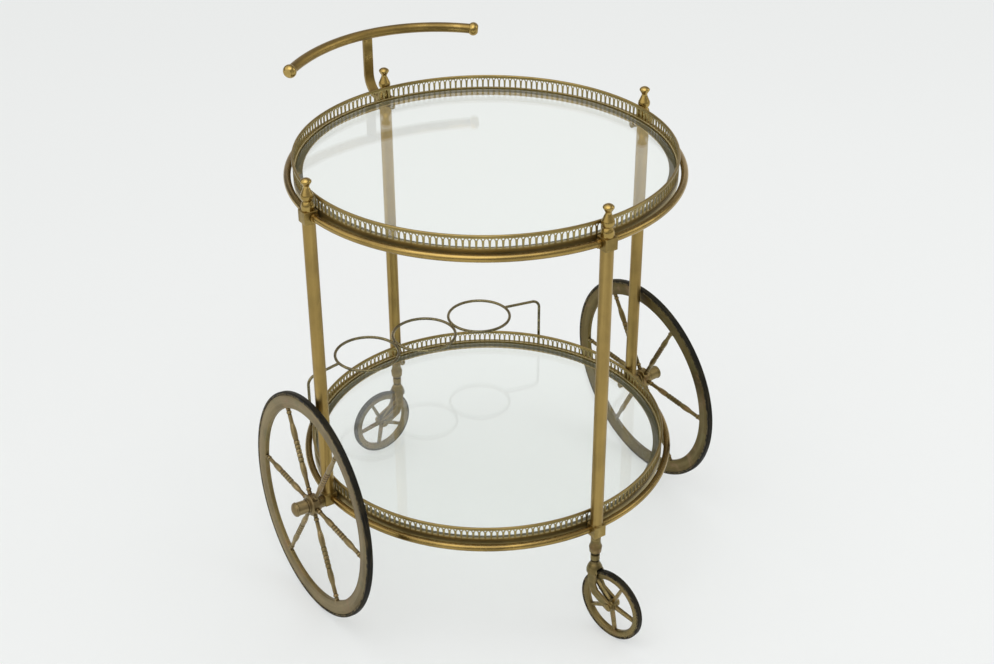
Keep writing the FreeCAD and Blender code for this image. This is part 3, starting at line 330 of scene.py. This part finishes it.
def rubber(name, hub, axis, seat):
    """Worn black rubber about a hub, with brown scuffs round it and pale chips where it meets the rim."""
    made, tree, shader, coord = material(name)
    drift = noise(tree, coord, RUBBER_DRIFT_SCALE, detail=5.0, rough=0.65, distortion=0.6)
    grain = noise(tree, coord, RUBBER_GRAIN_SCALE, detail=3.0, rough=0.6)
    chips = noise(tree, coord, CHIP_SCALE, detail=4.0, rough=0.7, distortion=0.8)
    radius, marks = round_coord(tree, coord, hub, axis, RUBBER_ROUND_DRIFT)
    scuffs = noise(tree, marks, SCUFF_SCALE, detail=4.0, rough=0.65)
    colour = blend(tree, span(tree, drift, 0.42, 0.72), *RUBBER_TONES)
    colour = blend(tree, span(tree, scuffs, 0.52, 0.75, to_high=0.7), colour, SCUFF)
    near = maths(tree, "MULTIPLY", span(tree, radius, *(seat + step for step in CHIP_BAND)),
                 span(tree, chips, 0.44, 0.56))
    colour = blend(tree, maths(tree, "MULTIPLY", near, CHIP_SHARE), colour, CHIP)
    tree.links.new(colour, shader.inputs["Base Color"])
    shader.inputs["Specular IOR Level"].default_value = RUBBER_SPECULAR
    tree.links.new(span(tree, drift, 0.3, 0.7, 0.45, 0.7), shader.inputs["Roughness"])
    bump(tree, shader, weighted(tree, grain, 0.4, chips, 0.8), RUBBER_DEPTH, RUBBER_RELIEF)
    return made


def clear_glass(name):
    """Clear plate glass with a green body, a faint film and wiped smears. Lamps shine through it."""
    made, tree, shader, coord = material(name)
    shader.inputs["Base Color"].default_value = GLASS_TINT
    shader.inputs["Transmission Weight"].default_value = GLASS_CLEAR
    shader.inputs["IOR"].default_value = GLASS_IOR
    wiped = stretched(tree, coord, SMEAR_STRETCH)
    smear = noise(tree, wiped, SMEAR_SCALE, detail=4.0, rough=0.6, distortion=0.8)
    tree.links.new(span(tree, smear, 0.5, 0.8, to_high=SMEAR_ROUGHNESS), shader.inputs["Roughness"])
    open_way = node(tree, "BsdfTransparent", {"Color": GLASS_SHADE})
    shadow_ray = node(tree, "LightPath").outputs["Is Shadow Ray"]
    mixed = node(tree, "MixShader", {0: shadow_ray, 1: shader.outputs[0], 2: open_way.outputs[0]})
    body = node(tree, "VolumeAbsorption", {"Color": GLASS_BODY, "Density": GLASS_DENSITY})
    out = tree.nodes["Material Output"]
    tree.links.new(mixed.outputs[0], out.inputs["Surface"])
    tree.links.new(body.outputs[0], out.inputs["Volume"])
    return made


MATERIALS = {
    "drawn": brass("post_brass", GOLD, rough=(0.28, 0.44), streak=130.0, grain=(1, 1, 0.03)),
    "bent": brass("bent_brass", GOLD, rough=(0.26, 0.42), streak=45.0),
    "hoop": brass("hoop_brass", HOOP, rough=(0.13, 0.27), streak=900.0, about=CART_AXIS),
    "rail": brass("rail_brass", OLIVE, rough=(0.26, 0.42), streak=900.0, about=CART_AXIS),
    "turned": brass("polished_brass", SHINE, rough=(0.17, 0.25), streak=160.0, grain=(0.2, 0.2, 1),
                    pits=0.0, top=0.4, worn=0.0, relief=0.1),
    "cast": brass("cast_brass", BLOCK, rough=(0.30, 0.46), streak=90.0, pits=0.4, top=0.2),
    "strip": brass("gallery_brass", STRIP, rough=(0.3, 0.46), streak=700.0, about=CART_AXIS, dirt_and_shade=0.2),
    "ledge": brass("ledge_brass", GOLD, rough=(0.35, 0.5), streak=700.0, about=CART_AXIS, top=0.9,
                   top_colour=LEDGE, dull=0.7, dirt_and_shade=0.0),
    "stem": brass("stem_brass", CAST, rough=(0.3, 0.48), streak=160.0, grain=(0.2, 0.2, 1), stain=True,
                  dirt_and_shade=0.5, fine=0.6, grooves=STEM_LINES),
    "wire": brass("wire_brass", WIRE, rough=(0.18, 0.32), streak=120.0),
    "bolt": brass("fastener_brass", CAST, rough=(0.3, 0.5), streak=120.0),
    "glass": clear_glass("plate_glass"),
}
RIM_COLOURS = {"left": DULL, "right": BROWN, "front": CAST, "rear": CAST}
HUB_COLOURS = {"left": PALE, "right": CAST}
LARGE_RIM = {"rough": (0.32, 0.5), "dirt_and_shade": 0.2, "edge": 0.0010}
CASTER_RIM = {"rough": (0.22, 0.38), "dirt_and_shade": 0.5, "fine": 0.8, "edge": 0.0026}

# Looks by the ends of the nodes' names, and by slot for the nodes with other names
NAME_LOOKS = (
    (("_tyre",), "rubber"),
    (("_rim", "_caster_wheel"), "rim"),
    (("_hub", "_hub_cap", "_spokes"), "hub"),
    (("_post",), "drawn"),
    (("_finial", "handle_balls"), "turned"),
    (("_ring_rods",), "hoop"),
    (("bottle_rings", "bottle_legs"), "wire"),
    (("_rail",), "rail"),
    (("_gallery",), "strip"),
    (("_tray_ring",), "ledge"),
)
SLOT_LOOKS = {"aged_brass": "bent", "cast_brass": "cast", "dull_brass": "stem", "fasteners": "bolt",
              "glass": "glass"}


def wheel_looks():
    """Rubber and brass of each wheel, with marks round its own axle, by the wheel's side and the look."""
    looks = {}
    for side, colours in RIM_COLOURS.items():
        large = side in HUB_COLOURS
        joint = next(j for j in frame["joints"]
                     if j["name"] == side + ("_wheel_spin" if large else "_caster_spin"))
        low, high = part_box(side + ("_tyre" if large else "_caster_tyre"))
        about = ((low + high) / 2, Vector(joint["axis"]))
        looks[side, "rubber"] = rubber(side + "_rubber", *about, WHEEL_SEAT_R if large else CASTER_SEAT_R)
        looks[side, "rim"] = brass(side + "_wheel_brass", colours, streak=90.0, about=about, stain=True,
                                   top=0.2, **(LARGE_RIM if large else CASTER_RIM))
        if large:
            looks[side, "hub"] = brass(side + "_hub_brass", HUB_COLOURS[side], rough=(0.26, 0.40),
                                       streak=60.0, about=about, stain=True, top=0.2, fine=0.9,
                                       rings=SPOKE_LINES)
    return looks


def dress_nodes():
    """Gives every CAD node its material."""
    slots = {part["node"]: part["material_slot"] for part in frame["record"]["subparts"]}
    wheels = wheel_looks()
    for name, piece in NODES.items():
        look = next((look for ends, look in NAME_LOOKS if name.endswith(ends)), None)
        look = look or SLOT_LOOKS[slots[name]]
        side = name.split("_")[0]
        piece.data.materials.clear()
        piece.data.materials.append(wheels.get((side, look)) or MATERIALS[look])


def seen_share(tree, kinds):
    """1 for rays of these kinds that met no matt surface on their way, else 0."""
    path = node(tree, "LightPath")
    share = path.outputs[kinds[0]]
    for kind in kinds[1:]:
        share = maths(tree, "MAXIMUM", share, path.outputs[kind])
    return maths(tree, "MULTIPLY", share, maths(tree, "LESS_THAN", path.outputs["Diffuse Depth"], 0.5))


def make_floor():
    """Pale floor under the cart. A part of what is seen of it is its own white, so shadows stay faint."""
    mesh = bpy.data.meshes.new("floor")
    corners = [(x * FLOOR_REACH, y * FLOOR_REACH, 0) for x, y in ((-1, -1), (1, -1), (1, 1), (-1, 1))]
    mesh.from_pydata(corners, [], [(0, 1, 2, 3)])
    floor = bpy.data.objects.new("floor", mesh)
    bpy.context.scene.collection.objects.link(floor)
    made, tree, shader, coord = material("pale_floor")
    cloud = noise(tree, coord, FLOOR_CLOUD_SCALE, detail=2.0, rough=0.5)
    tree.links.new(blend(tree, cloud, *FLOOR_TONES), shader.inputs["Base Color"])
    shader.inputs["Roughness"].default_value = FLOOR_ROUGHNESS
    shader.inputs["Specular IOR Level"].default_value = FLOOR_SPECULAR
    white = node(tree, "Emission", {"Color": PAPER, "Strength": 1.0})
    seen = seen_share(tree, ("Is Camera Ray", "Is Transmission Ray", "Is Glossy Ray"))
    mixed = node(tree, "MixShader", {0: maths(tree, "MULTIPLY", seen, FLOOR_GLOW), 1: shader.outputs[0],
                                     2: white.outputs[0]})
    tree.links.new(mixed.outputs[0], tree.nodes["Material Output"].inputs["Surface"])
    mesh.materials.append(made)


def make_world():
    """White surroundings for sight, a studio with soft lights for gloss, and even fill for the rest."""
    world = bpy.data.worlds.new("studio")
    bpy.context.scene.world = world
    world.use_nodes = True
    tree = world.node_tree
    tree.nodes.clear()
    way = node(tree, "TexCoord").outputs["Generated"]
    level = 0.0
    for light, low, high, dim, bright in GLOSS_LIGHTS:
        facing = vector(tree, "DOT_PRODUCT", way, light, "Value")
        level = maths(tree, "ADD", level, span(tree, facing, low, high, dim, bright))
    sight = node(tree, "Background", {"Color": PAPER, "Strength": 1.0})
    gloss = node(tree, "Background", {"Color": GLOSS_TINT, "Strength": level})
    fill = node(tree, "Background", {"Color": FILL_TINT, "Strength": FILL_LEVEL})
    lit = node(tree, "MixShader", {0: seen_share(tree, ("Is Glossy Ray",)), 1: fill.outputs[0],
                                   2: gloss.outputs[0]})
    both = node(tree, "MixShader", {0: seen_share(tree, ("Is Camera Ray", "Is Transmission Ray")),
                                    1: lit.outputs[0], 2: sight.outputs[0]})
    node(tree, "OutputWorld", {"Surface": both.outputs[0]})


def make_lamp(name, place, target, size, power):
    """Square soft box aimed at a point."""
    lamp = bpy.data.lights.new(name, "AREA")
    lamp.shape = "SQUARE"
    lamp.size = size
    lamp.energy = power
    box = bpy.data.objects.new(name, lamp)
    box.location = place
    box.rotation_euler = (Vector(target) - Vector(place)).to_track_quat("-Z", "Y").to_euler()
    bpy.context.scene.collection.objects.link(box)


def make_camera():
    """Camera at the photograph's place."""
    camera = bpy.data.cameras.new("photo_view")
    camera.sensor_fit = "HORIZONTAL"
    camera.sensor_width = SENSOR_MM
    camera.lens = SENSOR_MM * FOCAL_PIXELS / IMAGE_WIDTH
    eye = bpy.data.objects.new("photo_view", camera)
    turn = CAMERA_WAY.to_track_quat("-Z", "Y").to_matrix().to_4x4()
    eye.matrix_world = Matrix.Translation(CAMERA_PLACE) @ turn @ Matrix.Rotation(CAMERA_ROLL, 4, "Z")
    bpy.context.scene.collection.objects.link(eye)
    bpy.context.scene.camera = eye


make_camera()
dress_nodes()
make_floor()
make_world()
for lamp_name, settings in LAMPS.items():
    make_lamp(lamp_name, *settings)
bpy.context.scene.view_settings.view_transform = "Standard"
